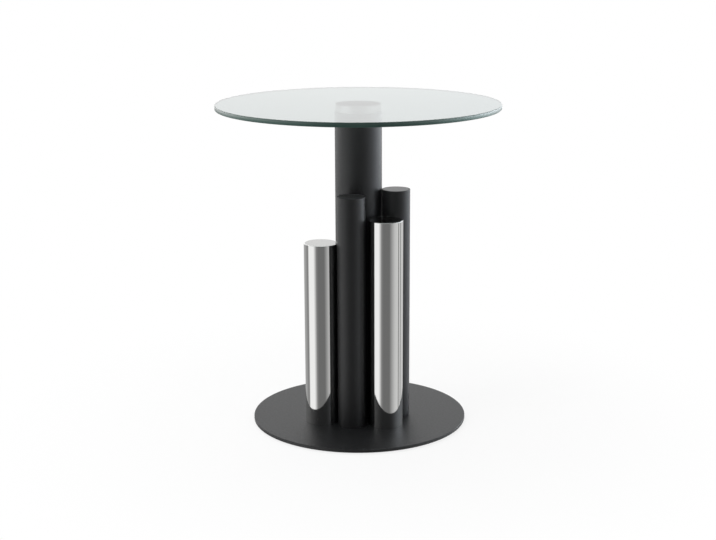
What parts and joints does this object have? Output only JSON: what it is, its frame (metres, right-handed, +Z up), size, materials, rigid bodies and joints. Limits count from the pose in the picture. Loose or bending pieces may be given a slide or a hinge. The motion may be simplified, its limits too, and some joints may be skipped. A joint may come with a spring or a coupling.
{
  "type": "glass side table",
  "caption": "Round clear glass side table on a dark central column, flanked by polished and dark upright tubes of stepped heights on a thin round base plate.",
  "frame": {"origin": "on the floor under the middle of the table, in the plane of the felt glides' lower faces", "axes": "+Z up along the column, -Y towards the front, +X to the right as seen from the front"},
  "size_m": [0.4999, 0.5, 0.577],
  "materials": {
    "clear_glass": "clear toughened glass with a polished, slightly green edge",
    "brushed_disc": "fine turned stainless steel",
    "dark_powder_coat": "fine satin powder coat, near black",
    "polished_chrome": "mirror polished",
    "plain_steel": "bare machined steel",
    "zinc_steel": "bright zinc plate",
    "black_felt": "pressed wool felt"
  },
  "bodies": {
    "root": {"glass_top": "clear_glass", "bonding_disc": "brushed_disc", "top_stud": "zinc_steel", "column_tube": "dark_powder_coat", "column_head_plug": "plain_steel", "column_foot_plug": "plain_steel", "left_chrome_tube": "polished_chrome", "left_chrome_cap": "polished_chrome", "left_chrome_foot_plug": "plain_steel", "front_dark_tube": "dark_powder_coat", "front_dark_cap": "dark_powder_coat", "front_dark_foot_plug": "plain_steel", "right_chrome_tube": "polished_chrome", "right_chrome_cap": "polished_chrome", "right_chrome_foot_plug": "plain_steel", "rear_dark_tube": "dark_powder_coat", "rear_dark_cap": "dark_powder_coat", "rear_dark_foot_plug": "plain_steel", "base_plate": "dark_powder_coat", "column_screws": "zinc_steel", "tube_screws": "zinc_steel", "felt_glides": "black_felt"}
  },
  "joints": []
}
